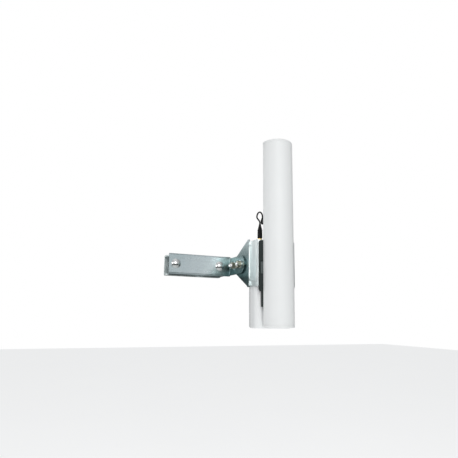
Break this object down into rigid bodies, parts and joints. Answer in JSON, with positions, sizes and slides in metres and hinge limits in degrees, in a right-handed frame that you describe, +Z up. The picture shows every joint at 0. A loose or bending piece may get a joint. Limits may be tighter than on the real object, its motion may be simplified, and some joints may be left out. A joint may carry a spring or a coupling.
{
  "type": "sector panel antenna with pole mount",
  "caption": "Compact outdoor sector antenna in a D-section radome, with a clip-on radio, a tilt bracket and a sheet-steel clamp for a vertical pole.",
  "frame": {"origin": "on the pole's axis, at the middle of the clamp's height", "axes": "+Z up along the pole, +Y along the antenna's beam, +X away from the antenna along the arm"},
  "size_m": [0.2297, 0.206, 0.369],
  "materials": {
    "radome_white": "satin",
    "cap_white": "satin",
    "radio_white": "satin",
    "rail_grey": "moulded",
    "latch_grey": "moulded",
    "zinc_sheet": "bright zinc plate",
    "zinc_bright": "bright zinc plate",
    "zinc_bolt": "bright zinc plate",
    "yellow_zinc": "yellow zinc plate",
    "gold": "plated",
    "black_rubber": "satin",
    "black_plastic": "satin",
    "aluminium": "plain",
    "board_green": "solder mask",
    "nylon": "plain",
    "clear_plastic": "clear",
    "seal_grey": "soft"
  },
  "bodies": {
    "pole_arm": {"arm_channel": "zinc_sheet", "carriage_bolts": "zinc_bolt", "pivot_bolt": "zinc_bolt", "lock_bolt": "zinc_bolt", "pivot_nut": "yellow_zinc", "lock_nut": "yellow_zinc", "tilt_washers": "zinc_bolt"},
    "antenna": {"radome_shell": "radome_white", "top_cap": "cap_white", "bottom_cap": "cap_white", "reflector": "aluminium", "feed_board": "board_green", "board_standoffs": "nylon", "patch_elements": "gold", "patch_spacers": "nylon", "feed_tails": "black_rubber", "threaded_inserts": "gold", "antenna_jacks": "gold", "rail_plate": "rail_grey", "rail_screws": "zinc_bolt", "radio_body": "radio_white", "radio_cover": "radio_white", "radio_gasket": "seal_grey", "cover_screws": "zinc_bolt", "status_lights": "clear_plastic", "radio_board": "board_green", "board_screws": "zinc_bolt", "shield_can": "aluminium", "ethernet_socket": "black_plastic", "radio_jacks": "gold", "jack_nuts": "gold", "bracket_channel": "zinc_bright", "near_wing": "zinc_sheet", "far_wing": "zinc_sheet", "near_jumper": "black_rubber", "far_jumper": "black_rubber", "near_radio_plug": "black_rubber", "far_radio_plug": "black_rubber", "near_antenna_plug": "black_rubber", "far_antenna_plug": "black_rubber", "radio_coupling_nuts": "gold", "antenna_coupling_nuts": "black_plastic"},
    "rear_jaw": {"rear_jaw": "zinc_bright", "jaw_washers": "zinc_bolt", "jaw_nuts": "yellow_zinc"},
    "port_door": {"port_door": "radio_white"},
    "reset_button": {"reset_button": "black_plastic"},
    "rail_latch": {"rail_latch": "latch_grey"}
  },
  "joints": [
    {"name": "tilt", "type": "hinge", "parent": "pole_arm", "child": "antenna", "pos_m": [-0.075, 0.073, 0.0005], "axis": [1, 0, 0], "range_deg": [-20, 20]},
    {"name": "jaw_slide", "type": "slide", "parent": "pole_arm", "child": "rear_jaw", "axis": [0, 1, 0], "range_m": [-0.002, 0.005]},
    {"name": "door_slide", "type": "slide", "parent": "antenna", "child": "port_door", "axis": [0, 0, -1], "range_m": [0, 0.02]},
    {"name": "reset_press", "type": "slide", "parent": "antenna", "child": "reset_button", "axis": [0, 0, 1], "range_m": [0, 0.0008], "stiffness_N_per_m": 400},
    {"name": "latch_press", "type": "slide", "parent": "antenna", "child": "rail_latch", "axis": [-1, 0, 0], "range_m": [0, 0.002], "stiffness_N_per_m": 800}
  ]
}
